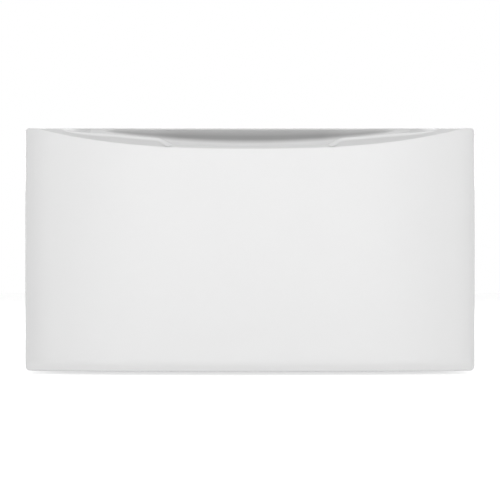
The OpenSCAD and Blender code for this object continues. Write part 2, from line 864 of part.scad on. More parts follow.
// Each rivet holds an inner member to the drawer's side, with its head inside the member
module drawer_side_rivets() {
    color("silver") for (side = [-1, 1]) rivet_places(side) translate([0, 0, inner_web_u]) {
        cylinder(h = web_t + box_t, r = shank_r, $fn = arc_fn);
        translate([0, 0, -rivet_head_h]) cylinder(h = rivet_head_h, r = head_r, $fn = arc_fn);
    }
}

// ---- release levers ----

module pivot_place(side) {
    on_side(side) translate([bracket_x, slide_front_y + lever_pivot, slide_z])
        rotate([0, -90, 0]) children();
}

// The lever turns on a rivet inside the inner member, with a hooked tail and a finger pad
module release_lever(side) {
    color("black") pivot_place(side) translate([0, 0, lever_u]) difference() {
        union() {
            block([-lever_h / 2, -lever_arm, 0], [lever_h / 2, lever_tail, lever_t]);
            cylinder(h = lever_t, r = lever_boss_r, $fn = arc_fn);
            translate([0, -lever_arm, 0]) cylinder(h = lever_t, r = lever_boss_r, $fn = arc_fn);
            block([-lever_h, lever_tail - lever_t, 0], [lever_h / 2, lever_tail, lever_t]);
        }
        translate([0, 0, -over])
            cylinder(h = lever_t + 2 * over, r = pivot_r + pivot_play, $fn = arc_fn);
    }
}

module left_release_lever() { release_lever(-1); }
module right_release_lever() { release_lever(1); }

drawer_front();
drawer_inner_front();
drawer_left_side();
drawer_right_side();
drawer_bottom();
drawer_back();
drawer_front_screws();
drawer_bumpers();
left_side_panel();
right_side_panel();
back_panel();
top_deck();
deck_hat_rails();
deck_corner_plates();
base_front_rail();
base_rear_rail();
leg_brackets();
weld_nuts();
lock_nuts();
back_panel_screws();
left_slide_bracket();
right_slide_bracket();
left_slide_outer();
right_slide_outer();
left_slide_middle();
right_slide_middle();
left_slide_inner();
right_slide_inner();
left_outer_cage();
right_outer_cage();
left_inner_cage();
right_inner_cage();
left_outer_balls();
right_outer_balls();
left_inner_balls();
right_inner_balls();
left_release_lever();
right_release_lever();
bracket_rivets();
drawer_side_rivets();
front_left_foot_base();
front_right_foot_base();
rear_left_foot_base();
rear_right_foot_base();
front_left_foot_stud();
front_right_foot_stud();
rear_left_foot_stud();
rear_right_foot_stud();
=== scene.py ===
import math

import bpy
from mathutils import Matrix, Vector


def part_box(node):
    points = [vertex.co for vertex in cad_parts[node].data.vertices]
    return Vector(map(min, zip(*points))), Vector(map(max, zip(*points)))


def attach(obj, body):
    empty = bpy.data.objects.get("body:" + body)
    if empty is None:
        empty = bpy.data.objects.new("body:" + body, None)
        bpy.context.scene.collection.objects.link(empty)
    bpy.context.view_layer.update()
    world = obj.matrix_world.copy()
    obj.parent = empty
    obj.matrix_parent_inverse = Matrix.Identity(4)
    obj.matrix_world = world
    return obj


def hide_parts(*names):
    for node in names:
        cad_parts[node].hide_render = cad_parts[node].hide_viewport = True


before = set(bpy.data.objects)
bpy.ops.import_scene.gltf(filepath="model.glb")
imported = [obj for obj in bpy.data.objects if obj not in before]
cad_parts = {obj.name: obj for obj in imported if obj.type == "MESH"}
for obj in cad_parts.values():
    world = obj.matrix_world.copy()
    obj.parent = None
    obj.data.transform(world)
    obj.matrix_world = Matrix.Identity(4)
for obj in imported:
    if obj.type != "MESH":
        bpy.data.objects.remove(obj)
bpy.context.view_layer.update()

# ---- Side panels ----
# Two shallow trays folded from 1.2 mm steel sheet, with a flange turned in on all four edges.
# They are spot welded to the rails between them and powder coated white.
# Sizes are in metres, and places a hair's breadth apart count as one.
hair, fine_hair = 1e-5, 1e-6
panel_roll = 0.0005


class Reading:
    """What a socket gives, so that a sum written in Python adds the nodes for it."""

    def __init__(self, finish, socket):
        self.finish, self.socket = finish, socket

    def sum(self, operation, first, second):
        return self.finish.node("Math", {"operation": operation}, {0: first, 1: second})

    def __add__(self, other):
        return self.sum("ADD", self, other)

    def __mul__(self, other):
        return self.sum("MULTIPLY", self, other)

    def __sub__(self, other):
        return self.sum("SUBTRACT", self, other)

    def __rsub__(self, other):
        return self.sum("SUBTRACT", other, self)

    __radd__, __rmul__ = __add__, __mul__

    def within(self, low, high):
        """Its place between two limits: 0 at the low one and before, 1 from the high one on."""
        return self.finish.node("MapRange", {}, {"Value": self, "From Min": low, "From Max": high})


class Finish:
    """One surface finish: a material with its shader, or the world round the object."""

    def __init__(self, name, slot, owner=None):
        self.material = owner or bpy.data.materials.new(name)
        self.material.use_nodes = True
        self.nodes = self.material.node_tree.nodes
        self.shader = self.nodes.get("Principled BSDF")
        self.place = self.node("TexCoord", {}, {}, "Object")
        self.slot = slot

    def node(self, kind, settings, inputs, output=0):
        """Adds a node, its settings first and then its inputs, and reads one output of it."""
        made = self.nodes.new("ShaderNode" + kind)
        for name, value in settings.items():
            setattr(made, name, value)
        self.feed(made, inputs)
        return Reading(self, made.outputs[output])

    def feed(self, node, inputs):
        """Sets each of a node's inputs to a plain value or to what another node gives."""
        for name, value in inputs.items():
            if isinstance(value, Reading):
                self.material.node_tree.links.new(value.socket, node.inputs[name])
            else:
                node.inputs[name].default_value = value

    def noise(self, size, detail=2.0, stretch=(1, 1, 1)):
        """Soft random patches of a size in metres, from 0 to 1."""
        place = self.node("Mapping", {}, {"Vector": self.place, "Scale": stretch})
        return self.node("TexNoise", {}, {"Vector": place, "Scale": 1 / size, "Detail": detail})

    def blend(self, amount, first, second):
        """A colour that runs from the first to the second."""
        return self.node("Mix", {"data_type": "RGBA"},
                         {0: amount, 6: (*first, 1), 7: (*second, 1)}, 2)

    def relief(self, height, depth):
        """Fine height over the surface, as a lean of its normal."""
        return self.node("Bump", {}, {"Height": height, "Distance": depth}, "Normal")

    def cover(self, piece):
        """Gives the finish to a new piece, in place of whatever it has."""
        piece.data.materials.clear()
        piece.data.materials.append(self.material)


def coated(name, slot, pale, dim, roughness, ripple_size, ripple_depth):
    """A sprayed or moulded skin: a faintly cloudy colour, fine ripples and uneven gloss."""
    cloud_size, dull_patch_size, uneven_gloss = 0.07, 0.025, 0.08
    finish = Finish(name, slot)
    ripple = finish.noise(ripple_size)
    dull_patches = finish.noise(dull_patch_size, detail=3)
    finish.feed(finish.shader, {
        "Base Color": finish.blend(finish.noise(cloud_size, detail=4), dim, pale),
        "Roughness": roughness + uneven_gloss * (ripple + dull_patches),
        "Normal": finish.relief(ripple, ripple_depth),
    })
    return finish


def take(piece):
    """Makes a piece the only one that the next operators act on."""
    if bpy.context.mode != "OBJECT":
        bpy.ops.object.mode_set(mode="OBJECT")
    bpy.ops.object.select_all(action="DESELECT")
    piece.select_set(True)
    bpy.context.view_layer.objects.active = piece


def pick(piece, kind, wanted):
    """Opens a piece for editing with only the parts selected that the test accepts."""
    take(piece)
    bpy.ops.object.mode_set(mode="EDIT")
    bpy.ops.mesh.select_mode(type={"vertices": "VERT", "edges": "EDGE", "polygons": "FACE"}[kind])
    bpy.ops.mesh.select_all(action="DESELECT")
    bpy.ops.object.mode_set(mode="OBJECT")
    places = [v.co for v in piece.data.vertices]
    for part in getattr(piece.data, kind):
        part.select = wanted(part, places)
    bpy.ops.object.mode_set(mode="EDIT")


def shade(piece, angle=40):
    """Smooth across bends below the angle, in degrees, while broad flat faces stay flat."""
    take(piece)
    bpy.ops.object.shade_smooth_by_angle(angle=math.radians(angle))
    flat = piece.modifiers.new("flat", "WEIGHTED_NORMAL")
    flat.keep_sharp = True
    bpy.ops.object.modifier_apply(modifier=flat.name)


def soften(piece, width, steps=2, angle=40):
    """Rolls every edge sharper than the angle, in degrees, and shades the piece."""
    take(piece)
    roll = piece.modifiers.new("roll", "BEVEL")
    roll.width, roll.segments, roll.angle_limit = width, steps, math.radians(angle)
    bpy.ops.object.modifier_apply(modifier=roll.name)
    shade(piece, angle)


def merged_copy(node, name):
    """A copy of a solid's skin with its triangles merged back into whole faces."""
    flat_below = 0.5
    piece = bpy.data.objects.new(name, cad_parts[node].data.copy())
    bpy.context.collection.objects.link(piece)
    take(piece)
    bpy.ops.object.mode_set(mode="EDIT")
    bpy.ops.mesh.select_all(action="SELECT")
    bpy.ops.mesh.remove_doubles(threshold=hair)
    bpy.ops.mesh.dissolve_limited(angle_limit=math.radians(flat_below))
    bpy.ops.object.mode_set(mode="OBJECT")
    return piece


def finished(piece, finish, body, *nodes):
    """Covers a piece, lets it ride on its body, and takes away the solids it stands for."""
    finish.cover(piece)
    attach(piece, body)
    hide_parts(*nodes)
    return piece


def folded(node, name, finish, body, roll):
    """A folded sheet, its bends and cut edges rolled by a small radius."""
    piece = merged_copy(node, name)
    soften(piece, roll)
    return finished(piece, finish, body, node)


white_coat = coated(
    "white_powder_coat", "cabinet_paint", pale=(0.80, 0.80, 0.80), dim=(0.77, 0.77, 0.77),
    roughness=0.32, ripple_size=0.0016, ripple_depth=0.00002)
for side in ("left", "right"):
    folded(f"{side}_side_panel", f"{side}_side_tray", white_coat, "cabinet", panel_roll)

# ---- Top deck ----
# The lid of the cabinet, pressed from 1.5 mm sheet with a skirt folded down all round and a
# shallow field pressed between the bolt holes. It has the panels' white powder coat.
deck_low, deck_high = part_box("top_deck")
deck_fold, field_fold, fold_steps = 0.0024, 0.0013, 4
rim_width = 0.012
field_half_width, field_half_depth, field_dip, field_slant = 0.250, 0.095, 0.003, 0.004
deck_middle = (deck_low.y + deck_high.y) / 2
deck = merged_copy("top_deck", "pressed_deck")


def on_deck_rim(edge, places):
    """The outer edge along the top of the skirt."""
    return all(
        abs(p.z - deck_high.z) < hair
        and (abs(p.x) > deck_high.x - rim_width
             or not deck_low.y + rim_width < p.y < deck_high.y - rim_width)
        for p in (places[i] for i in edge.vertices))


def on_field_rim(edge, places):
    """The edges above and below the pressed field's step."""
    ends = [places[i] for i in edge.vertices]
    across = [max(abs(p.x) - field_half_width, abs(p.y - deck_middle) - field_half_depth)
              for p in ends]
    level = all(abs(p.z - deck_high.z) < hair or abs(p.z - deck_high.z + field_dip) < hair
                for p in ends)
    return (level and abs(ends[0].z - ends[1].z) < hair
            and all(abs(a) < field_slant for a in across))


for wanted, fold in ((on_deck_rim, deck_fold), (on_field_rim, field_fold)):
    pick(deck, "edges", wanted)
    bpy.ops.mesh.bevel(offset=fold, segments=fold_steps, affect="EDGES")
    bpy.ops.object.mode_set(mode="OBJECT")
shade(deck)
finished(deck, white_coat, "cabinet", "top_deck")

# ---- Rails, brackets and back panel ----
# Hat rails, corner plates, base rails, leg brackets, slide brackets and the back panel are cut
# and folded from galvanised sheet, whose zinc shows its crystals. They are spot welded in
# place, and the back panel is screwed on.
sheet_roll = 0.0004
crystal_size, frost_size = 0.011, 0.0012
galvanised = Finish("galvanised_sheet", "galvanised_steel")
crystals = galvanised.node(
    "SeparateColor", {}, {0: galvanised.node("TexVoronoi", {}, {
        "Vector": galvanised.place, "Scale": 1 / crystal_size}, "Color")})
frost = galvanised.noise(frost_size, detail=4)
galvanised.feed(galvanised.shader, {
    "Base Color": galvanised.blend(0.6 * crystals + 0.4 * frost, (0.36, 0.37, 0.38),
                                   (0.50, 0.51, 0.52)),
    "Metallic": 0.85,
    "Roughness": 0.34 + 0.16 * crystals + 0.08 * frost,
    "Normal": galvanised.relief(frost, 0.00001),
})
for node, name in (
        ("deck_hat_rails", "hat_rails"), ("deck_corner_plates", "corner_plates"),
        ("base_front_rail", "front_base_channel"), ("base_rear_rail", "rear_base_channel"),
        ("leg_brackets", "leg_angles"), ("left_slide_bracket", "left_slide_carrier"),
        ("right_slide_bracket", "right_slide_carrier"), ("back_panel", "pressed_back")):
    folded(node, name, galvanised, "cabinet", sheet_roll)

# ---- Weld nuts, lock nuts and levelling feet ----
# Each foot is a zinc-plated threaded stud with a wrench collar, its broad end moulded into a
# black plastic base with a gripped edge. It screws through a lock nut and a weld nut.
scuff_size, plate_grain_size = 0.004, 0.0007
plated = Finish("zinc_plate", "fastener_steel")
scuff = plated.noise(scuff_size, detail=4)
plated.feed(plated.shader, {
    "Base Color": plated.blend(scuff, (0.50, 0.51, 0.50), (0.66, 0.66, 0.63)),
    "Metallic": 0.95,
    "Roughness": 0.22 + 0.16 * scuff,
    "Normal": plated.relief(plated.noise(plate_grain_size), 0.000008),
})
black_plastic = coated(
    "black_moulded_plastic", "foot_plastic", pale=(0.040, 0.040, 0.040),
    dim=(0.026, 0.026, 0.026), roughness=0.45, ripple_size=0.0005, ripple_depth=0.00003)
wrench_size = 0.017


def spun(name, profile, steps=48):
    """A turned piece: its outline, as points of radius and height, spun round the Z axis."""
    bpy.ops.mesh.primitive_plane_add(size=1)
    piece = bpy.context.active_object
    piece.name = piece.data.name = name
    take(piece)
    bpy.ops.object.mode_set(mode="EDIT")
    bpy.ops.mesh.select_all(action="SELECT")
    bpy.ops.mesh.merge(type="CENTER")
    bpy.ops.mesh.select_all(action="SELECT")
    bpy.ops.transform.translate(value=(profile[0][0], 0, profile[0][1]))
    for (r0, z0), (r1, z1) in zip(profile, profile[1:]):
        bpy.ops.mesh.extrude_vertices_move(
            TRANSFORM_OT_translate={"value": (r1 - r0, 0, z1 - z0)})
    bpy.ops.mesh.select_all(action="SELECT")
    bpy.ops.mesh.spin(steps=steps, angle=math.tau, center=(0, 0, 0), axis=(0, 0, 1))
    bpy.ops.mesh.select_all(action="SELECT")
    bpy.ops.mesh.remove_doubles(threshold=fine_hair)
    bpy.ops.mesh.normals_make_consistent(inside=False)
    bpy.ops.object.mode_set(mode="OBJECT")
    return piece


def joined(pieces, name):
    """Several pieces made one, under a new name."""
    take(pieces[0])
    for piece in pieces[1:]:
        piece.select_set(True)
    bpy.ops.object.join()
    pieces[0].name = pieces[0].data.name = name
    return pieces[0]


def placed(piece, name, moves):
    """Copies of a piece, one for each matrix, joined under a new name."""
    copies = []
    for move in moves:
        copy = bpy.data.objects.new(name, piece.data.copy())
        bpy.context.collection.objects.link(copy)
        copy.data.transform(move)
        copies.append(copy)
    return joined(copies, name)


def discard(*pieces):
    """Takes away tools and patterns that are no longer needed."""
    for piece in pieces:
        bpy.data.objects.remove(piece)


def cut(piece, cutter, operation="DIFFERENCE"):
    """Takes a cutter's shape out of a piece, keeps what both share, or adds it."""
    take(piece)
    tool = piece.modifiers.new("cut", "BOOLEAN")
    tool.object, tool.operation, tool.solver = cutter, operation, "EXACT"
    bpy.ops.object.modifier_apply(modifier=tool.name)
    discard(cutter)
    bpy.ops.object.mode_set(mode="EDIT")
    bpy.ops.mesh.select_all(action="SELECT")
    bpy.ops.mesh.remove_doubles(threshold=hair)
    bpy.ops.object.mode_set(mode="OBJECT")


def hexagon(name, low, high, bore):
    """A hexagon nut with both faces chamfered, and a bore if it has a radius."""
    face_inset, chamfer_fall = 0.0002, 0.6
    lead_in, lead_depth, past = 0.0008, 0.0005, 0.001
    corner = wrench_size / 2 / math.cos(math.radians(30))
    bpy.ops.mesh.primitive_cylinder_add(vertices=6, radius=corner, depth=high - low,
                                        location=(0, 0, (low + high) / 2))
    nut = bpy.context.active_object
    take(nut)
    bpy.ops.object.transform_apply()
    face, fall = wrench_size / 2 - face_inset, (corner - wrench_size / 2) * chamfer_fall
    dome = spun("nut_dome", [(0, low), (face, low), (corner, low + fall), (corner, high - fall),
                             (face, high), (0, high)])
    cut(nut, dome, "INTERSECT")
    if bore:
        cut(nut, spun("nut_bore", [(0, low - past), (bore + lead_in, low - past),
                                   (bore, low + lead_depth), (bore, high - lead_depth),
                                   (bore + lead_in, high + past), (0, high + past)]))
    nut.name = nut.data.name = name
    return nut


foot_middles = {
    name: Vector(((low.x + high.x) / 2, (low.y + high.y) / 2, 0))
    for name in ("front_left_foot", "front_right_foot", "rear_left_foot", "rear_right_foot")
    for low, high in [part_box(name + "_base")]}
foot_moves = [Matrix.Translation(p) for p in foot_middles.values()]
stud_radius, nut_roll = 0.005, 0.0001
for node, name in (("weld_nuts", "welded_nuts"), ("lock_nuts", "locking_nuts")):
    nut_low, nut_high = (corner.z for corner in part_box(node))
    nut = hexagon("nut", nut_low, nut_high, stud_radius)
    nuts = placed(nut, name, foot_moves)
    soften(nuts, nut_roll, steps=1)
    finished(nuts, plated, "cabinet", node)
    discard(nut)

base_low, base_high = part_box("front_left_foot_base")
base_radius, base_top = (base_high.x - base_low.x) / 2, base_high.z
dish_radius, dish_depth, dish_slant, sole_roll = 0.008, 0.0008, 0.001, 0.001
band_top, band_lean, shoulder = 0.0028, 0.0024, 0.001
socket_radius, socket_floor, socket_rim, socket_lead = 0.0072, 0.003, 0.002, 0.0003
grip_angle, grip_low, grip_reach, grip_edge, grip_squeeze = 3.75, 0.003, 0.003, 0.0003, 0.965
base = spun("foot_base", [
    (0, dish_depth), (dish_radius, dish_depth), (dish_radius + dish_slant, 0),
    (base_radius - sole_roll, 0), (base_radius, sole_roll), (base_radius, band_top),
    (base_radius - band_lean, base_top - shoulder),
    (base_radius - band_lean - shoulder, base_top), (socket_radius + socket_rim, base_top),
    (socket_radius, base_top - socket_lead), (socket_radius, socket_floor), (0, socket_floor)],
    steps=int(360 / grip_angle))
pick(base, "polygons", lambda face, places: (
    grip_low < face.center.z < base_top - shoulder
    and face.center.xy.length > base_radius - grip_reach
    and int(math.degrees(math.atan2(face.center.y, face.center.x)) // grip_angle) % 2))
bpy.ops.mesh.inset(thickness=grip_edge, use_individual=True)
bpy.ops.transform.resize(value=(grip_squeeze, grip_squeeze, 1), center_override=(0, 0, 0))
bpy.ops.object.mode_set(mode="OBJECT")
bpy.ops.object.shade_smooth_by_angle(angle=math.radians(35))

stud_low, stud_high = (corner.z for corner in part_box("front_left_foot_stud"))
collar_height = 0.003
collar_low, collar_high = base_top, base_top + collar_height
broad_end, root_radius, tip_radius, tip_length = 0.0069, 0.0041, 0.0037, 0.0008
thread_pitch, root_flat, flank_top, crest_end = 0.0015, 0.0002, 0.5, 0.65
thread_start, thread_room, thread_roll = 0.001, 0.002, 0.00008
turns = int((stud_high - collar_high - thread_room) / thread_pitch)
thread = [(0, stud_low), (broad_end, stud_low), (broad_end, collar_low),
          (stud_radius, collar_low), (stud_radius, collar_high)]
for turn in range(turns):
    z = collar_high + thread_start + turn * thread_pitch
    thread += [(root_radius, z), (root_radius, z + root_flat),
               (stud_radius, z + thread_pitch * flank_top),
               (stud_radius, z + thread_pitch * crest_end)]
thread += [(root_radius, stud_high - tip_length), (tip_radius, stud_high), (0, stud_high)]
stud = spun("foot_stud", thread, steps=32)
collar = hexagon("stud_collar", collar_low, collar_high, bore=0)
soften(stud, thread_roll, steps=1, angle=50)
soften(collar, nut_roll, steps=1)
cut(stud, collar, "UNION")
shade(stud)
for foot, middle in foot_middles.items():
    move = [Matrix.Translation(middle)]
    finished(placed(base, foot + "_gripped_base", move), black_plastic, foot, foot + "_base")
    finished(placed(stud, foot + "_threaded_stud", move), plated, foot, foot + "_stud")
discard(base, stud)

# ---- Slide members ----
# Each slide has an outer, a middle and an inner member, roll formed from bright-zinc strip, so
# the faint drawing lines run along it. Rivets hold the outer member to its bracket and the
# inner one to the drawer.
line_width, line_stretch, film_size = 0.0005, (1, 0.01, 1), 0.03
drawn_zinc = Finish("bright_drawn_zinc", "slide_steel")
lines = drawn_zinc.noise(line_width, detail=3, stretch=line_stretch)
film = drawn_zinc.noise(film_size, detail=3)
drawn_zinc.feed(drawn_zinc.shader, {
    "Base Color": drawn_zinc.blend(film, (0.60, 0.61, 0.64), (0.70, 0.70, 0.68)),
    "Metallic": 1.0,
    "Roughness": 0.20 + 0.14 * lines + 0.06 * film,
    "Normal": drawn_zinc.relief(lines, 0.000006),
})


def dress(node, finish):
    """Puts a finish on a solid that stays as it is."""
    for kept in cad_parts[node].material_slots:
        kept.material = finish.material


for side in ("left", "right"):
    for member in ("outer", "middle", "inner"):
        dress(f"{side}_slide_{member}", drawn_zinc)
dress("bracket_rivets", plated)
dress("drawer_side_rivets", plated)

# ---- Balls and cages ----
# Polished steel balls run in the grooves between the members. Plain strip steel, lightly
# oiled, is punched and folded into the cages that hold them.
haze_size, oil_size, strip_line_width, strip_line_stretch = 0.0009, 0.012, 0.0004, (1, 0.03, 1)
polished = Finish("polished_ball_steel", "ball_steel")
haze = polished.noise(haze_size, detail=3)
polished.feed(polished.shader, {
    "Base Color": polished.blend(haze, (0.62, 0.62, 0.63), (0.74, 0.74, 0.75)),
    "Metallic": 1.0,
    "Roughness": 0.06 + 0.08 * haze,
})
oiled = Finish("oiled_strip_steel", "cage_steel")
oil = oiled.noise(oil_size, detail=4)
strip_lines = oiled.noise(strip_line_width, stretch=strip_line_stretch)
oiled.feed(oiled.shader, {
    "Base Color": oiled.blend(oil, (0.42, 0.39, 0.33), (0.58, 0.56, 0.50)),
    "Metallic": 0.95,
    "Roughness": 0.26 + 0.20 * oil,
    "Normal": oiled.relief(strip_lines, 0.000008),
})
for side in ("left", "right"):
    for ring in ("outer", "inner"):
        dress(f"{side}_{ring}_cage", oiled)
        dress(f"{side}_{ring}_balls", polished)

# ---- Release levers ----
# A small black lever on a rivet inside each inner member, moulded with a finger pad and a
# hooked tail. Lifting both frees the drawer from its slides.
lever_roll = 0.0004
lever_plastic = coated(
    "black_lever_plastic", "lever_plastic", pale=(0.032, 0.032, 0.034),
    dim=(0.022, 0.022, 0.023), roughness=0.38, ripple_size=0.0006, ripple_depth=0.00002)
for side in ("left", "right"):
    folded(f"{side}_release_lever", f"{side}_moulded_lever", lever_plastic, f"{side}_lever",
           lever_roll)

# ---- Drawer box ----
# Sides, bottom and back are folded from 1.2 mm sheet, spot welded, and coated light grey. The
# inner front closes the back of the moulded front and is the box's front wall.
grey_coat = coated(
    "light_grey_powder_coat", "drawer_steel", pale=(0.66, 0.66, 0.66), dim=(0.62, 0.62, 0.62),
    roughness=0.36, ripple_size=0.0018, ripple_depth=0.00003)
for node, name in (
        ("drawer_left_side", "left_box_side"), ("drawer_right_side", "right_box_side"),
        ("drawer_bottom", "beaded_bottom"), ("drawer_back", "box_back"),
        ("drawer_inner_front", "inner_front_plate")):
    folded(node, name, grey_coat, "drawer", sheet_roll)

# ---- Drawer front ----
# One moulding in gloss white plastic: a bowed face, a slope cut into its upper edge, and behind
# the slope a finger channel with a wide notch and an overhanging pocket, whose wall is grained
# and painted grey as shade. Six bosses on ribs take the screws that hold it to the inner front.
front_low, front_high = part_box("drawer_front")
crown_y, rim_y = front_low.y, front_high.y
front_half = front_high.x
bow_depth, bow_power = 0.0337, 2.6
slope_height, slope_depth, channel_height = 0.0325, 0.030, 0.062
slope_rise = slope_height / slope_depth
channel_y, channel_floor = crown_y + slope_depth, front_high.z - channel_height
slope_width, notch_width = 0.0124, 0.0034
notch_half, notch_end, channel_end = 0.110, 0.142, 0.296
pocket_depth, pocket_half, roof_height = 0.014, 0.243, 0.0195
pocket_radius = (pocket_half ** 2 + pocket_depth ** 2) / (2 * pocket_depth)
overhang, overhang_start, overhang_fade, least_roof = 0.003, 0.250, 0.030, 0.006
taper_start, taper_end, taper_share = 0.190, 0.310, 0.55
crest_rise, crest_lean, crest_width, least_crest = 0.0042, 0.0008, 0.0018, 0.0002
least_rise, crest_onset, crest_swell, crest_room = 0.0003, 2.2, 2.8, 0.0075
foot_height, foot_depth, foot_roll, foot_bend = 0.015, 0.0034, 0.0024, 0.05
corner_radius, end_roll = 0.0068, 0.003
smile_roll, shoulder_roll, crest_roll = 0.0022, 0.006, 0.0009
lip_roll, end_lip_roll = 0.0013, 0.003
channel_roll, roof_sag, roof_roll, roof_bend = 0.005, 0.0022, 0.011, 0.02
fade_room = 0.0015
arc_steps, start_corners, open_corners = 6, 3, 8
arc_points = arc_steps + 1


def bow(x, inset=0.0):
    """How far forward the bowed face is at x, or a line parallel to it."""
    share = abs(x) / front_half
    lean = bow_depth * bow_power / front_half * share ** (bow_power - 1)
    return crown_y + bow_depth * share ** bow_power + inset * math.sqrt(1 + lean ** 2)


def drop_at_end(x, width, depth):
    """How far an end that is rounded over a width has fallen away at x."""
    past = max(0.0, abs(x) - (front_half - width)) / width
    return depth * (1 - math.sqrt(max(0.0, 1 - past ** 2)))


def eased(share):
    """A share from 0 to 1 that starts and ends gently."""
    share = min(1.0, max(0.0, share))
    return share * share * (3 - 2 * share)


def rounded(corners):
    """A section's outline, each inner corner turned into an arc that its neighbours allow."""
    nearly_straight, arc_share = 3.1, 0.45
    outline = [corners[0][0]]
    for (before, _), (here, radius), (after, _) in zip(corners, corners[1:], corners[2:]):
        back, on = before - here, after - here
        shorter = min(back.length, on.length)
        if shorter < fine_hair or back.angle(on) > nearly_straight:
            outline += [here] * arc_points
            continue
        half = back.angle(on) / 2
        reach = min(radius / math.tan(half), arc_share * shorter)
        radius = reach * math.tan(half)
        back, on = back.normalized(), on.normalized()
        centre = here + (back + on).normalized() * (radius / math.sin(half))
        first, last = here + back * reach - centre, here + on * reach - centre
        turn = first.angle(last)
        outline += [
            centre + (first * math.sin((1 - share) * turn) + last * math.sin(share * turn))
            / math.sin(turn) for share in (step / arc_steps for step in range(arc_points))]
    return outline + [corners[-1][0]]


def section(x):
    """The moulding's outline at x, from the back of its bottom to the back of its top.

    Where the channel has run out, the closed outline has as many points as the open one, so
    that one runs into the other without a seam.
    """
    low = front_low.z + drop_at_end(x, corner_radius, corner_radius)
    high = front_high.z - drop_at_end(x, corner_radius, corner_radius)
    face = bow(x) + drop_at_end(x, end_roll, end_roll)
    smile = min(high, front_high.z - max(0.0, channel_y - face) * slope_rise)
    top = max(face, channel_y - (front_high.z - high) / slope_rise)
    start = [(Vector((rim_y, low)), 0), (Vector((face + foot_depth, low)), foot_roll),
             (Vector((face, low + foot_height)), foot_bend), (Vector((face, smile)), smile_roll)]
    closed = rounded(start + [(Vector((top, high)), end_lip_roll), (Vector((rim_y, high)), 0)])
    before_lip = 1 + start_corners * arc_points
    lip = closed[before_lip:-1]
    rows = open_corners * arc_points
    spread = []
    for row in range(rows):
        share = row / (rows - 1) * (len(lip) - 1)
        step = min(int(share), len(lip) - 2)
        spread.append(lip[step].lerp(lip[step + 1], share - step))
    closed[before_lip:-1] = spread
    notch = eased((abs(x) - notch_half) / (notch_end - notch_half))
    taper = 1 - taper_share * eased((abs(x) - taper_start) / (taper_end - taper_start))
    ridge = bow(x, notch_width) * (1 - notch) + bow(x, slope_width * taper) * notch
    room = channel_y - ridge
    if room < crest_width + least_crest or top > channel_y:
        return closed
    pocket = max(overhang * (1 - eased((abs(x) - overhang_start) / overhang_fade)),
                 pocket_depth - pocket_radius
                 + math.sqrt(max(0.0, pocket_radius ** 2 - x * x)))
    roof = Vector((channel_y + pocket,
                   high - max(least_roof, pocket * roof_height / pocket_depth)))
    edge = Vector((channel_y, high))
    sag = Vector((roof_height, pocket_depth)).normalized() * roof_sag * pocket / pocket_depth
    crest = high - room * slope_rise
    raised = eased(crest_onset * notch) * eased(room / crest_room)
    rise = raised * crest_rise * (1 + crest_swell * notch * (1 - notch))
    opened = rounded(start + [
        (Vector((ridge - max(least_crest, raised * crest_lean), crest - max(least_rise, rise))),
         shoulder_roll),
        (Vector((ridge, crest)), crest_roll),
        (Vector((ridge + crest_width, crest)), crest_roll),
        (Vector((ridge + crest_width, channel_floor)), channel_roll),
        (Vector((channel_y + pocket, channel_floor)), channel_roll),
        (roof, roof_roll),
        ((roof + edge) / 2 + sag, roof_bend),
        (edge, lip_roll),
        (Vector((rim_y, high)), 0)])
    open_share = eased((room - crest_width) / fade_room)
    return [shut.lerp(wide, open_share) for shut, wide in zip(closed, opened)]


def spaced(*stretches):
    """Places along X: the ends of each stretch and even steps between them."""
    places = {0.0}
    for low, high, step in stretches:
        count = max(1, round((high - low) / step))
        places.update(low + (high - low) * i / count for i in range(count + 1))
    return sorted(places)


fine_step, even_step, end_step, broad_step, turn_step = 0.002, 0.006, 0.005, 0.008, 10
half_places = spaced(
    (0, notch_half - broad_step, broad_step),
    (notch_half - even_step, notch_end + even_step, fine_step),
    (notch_end + broad_step, pocket_half - broad_step, even_step),
    (pocket_half - even_step, channel_end, fine_step),
    (channel_end, front_half - corner_radius, end_step))
half_places += [front_half - corner_radius * (1 - math.sin(math.radians(a)))
                for a in range(turn_step, 90 + 1, turn_step)]
columns = [[(x, *point) for point in section(x)]
           for x in [-x for x in half_places[:0:-1]] + half_places]
bpy.ops.mesh.primitive_grid_add(x_subdivisions=len(columns) - 1,
                                y_subdivisions=len(columns[0]) - 1, size=1)
front = bpy.context.active_object
front.name = front.data.name = "bowed_front"
front.data.vertices.foreach_set(
    "co", [value for row in zip(*columns) for point in row for value in point])
take(front)
bpy.ops.object.mode_set(mode="EDIT")
bpy.ops.mesh.select_all(action="SELECT")
bpy.ops.mesh.remove_doubles(threshold=hair)
bpy.ops.mesh.dissolve_degenerate(threshold=fine_hair)
for end in (-front_half, front_half):
    pick(front, "vertices", lambda v, places: abs(v.co.x - end) < hair)
    bpy.ops.mesh.edge_face_add()
bpy.ops.object.mode_set(mode="OBJECT")
pick(front, "vertices", lambda v, places: abs(v.co.y - rim_y) < hair)
bpy.ops.mesh.edge_face_add()
bpy.ops.mesh.select_all(action="SELECT")
bpy.ops.mesh.normals_make_consistent(inside=False)
back_border, back_step, facing_back, back_area = 0.0033, 0.0014, 0.99, 0.1
pick(front, "polygons",
     lambda face, places: face.normal.y > facing_back and face.area > back_area)
bpy.ops.mesh.inset(thickness=back_border, depth=-back_step)
bpy.ops.object.mode_set(mode="OBJECT")

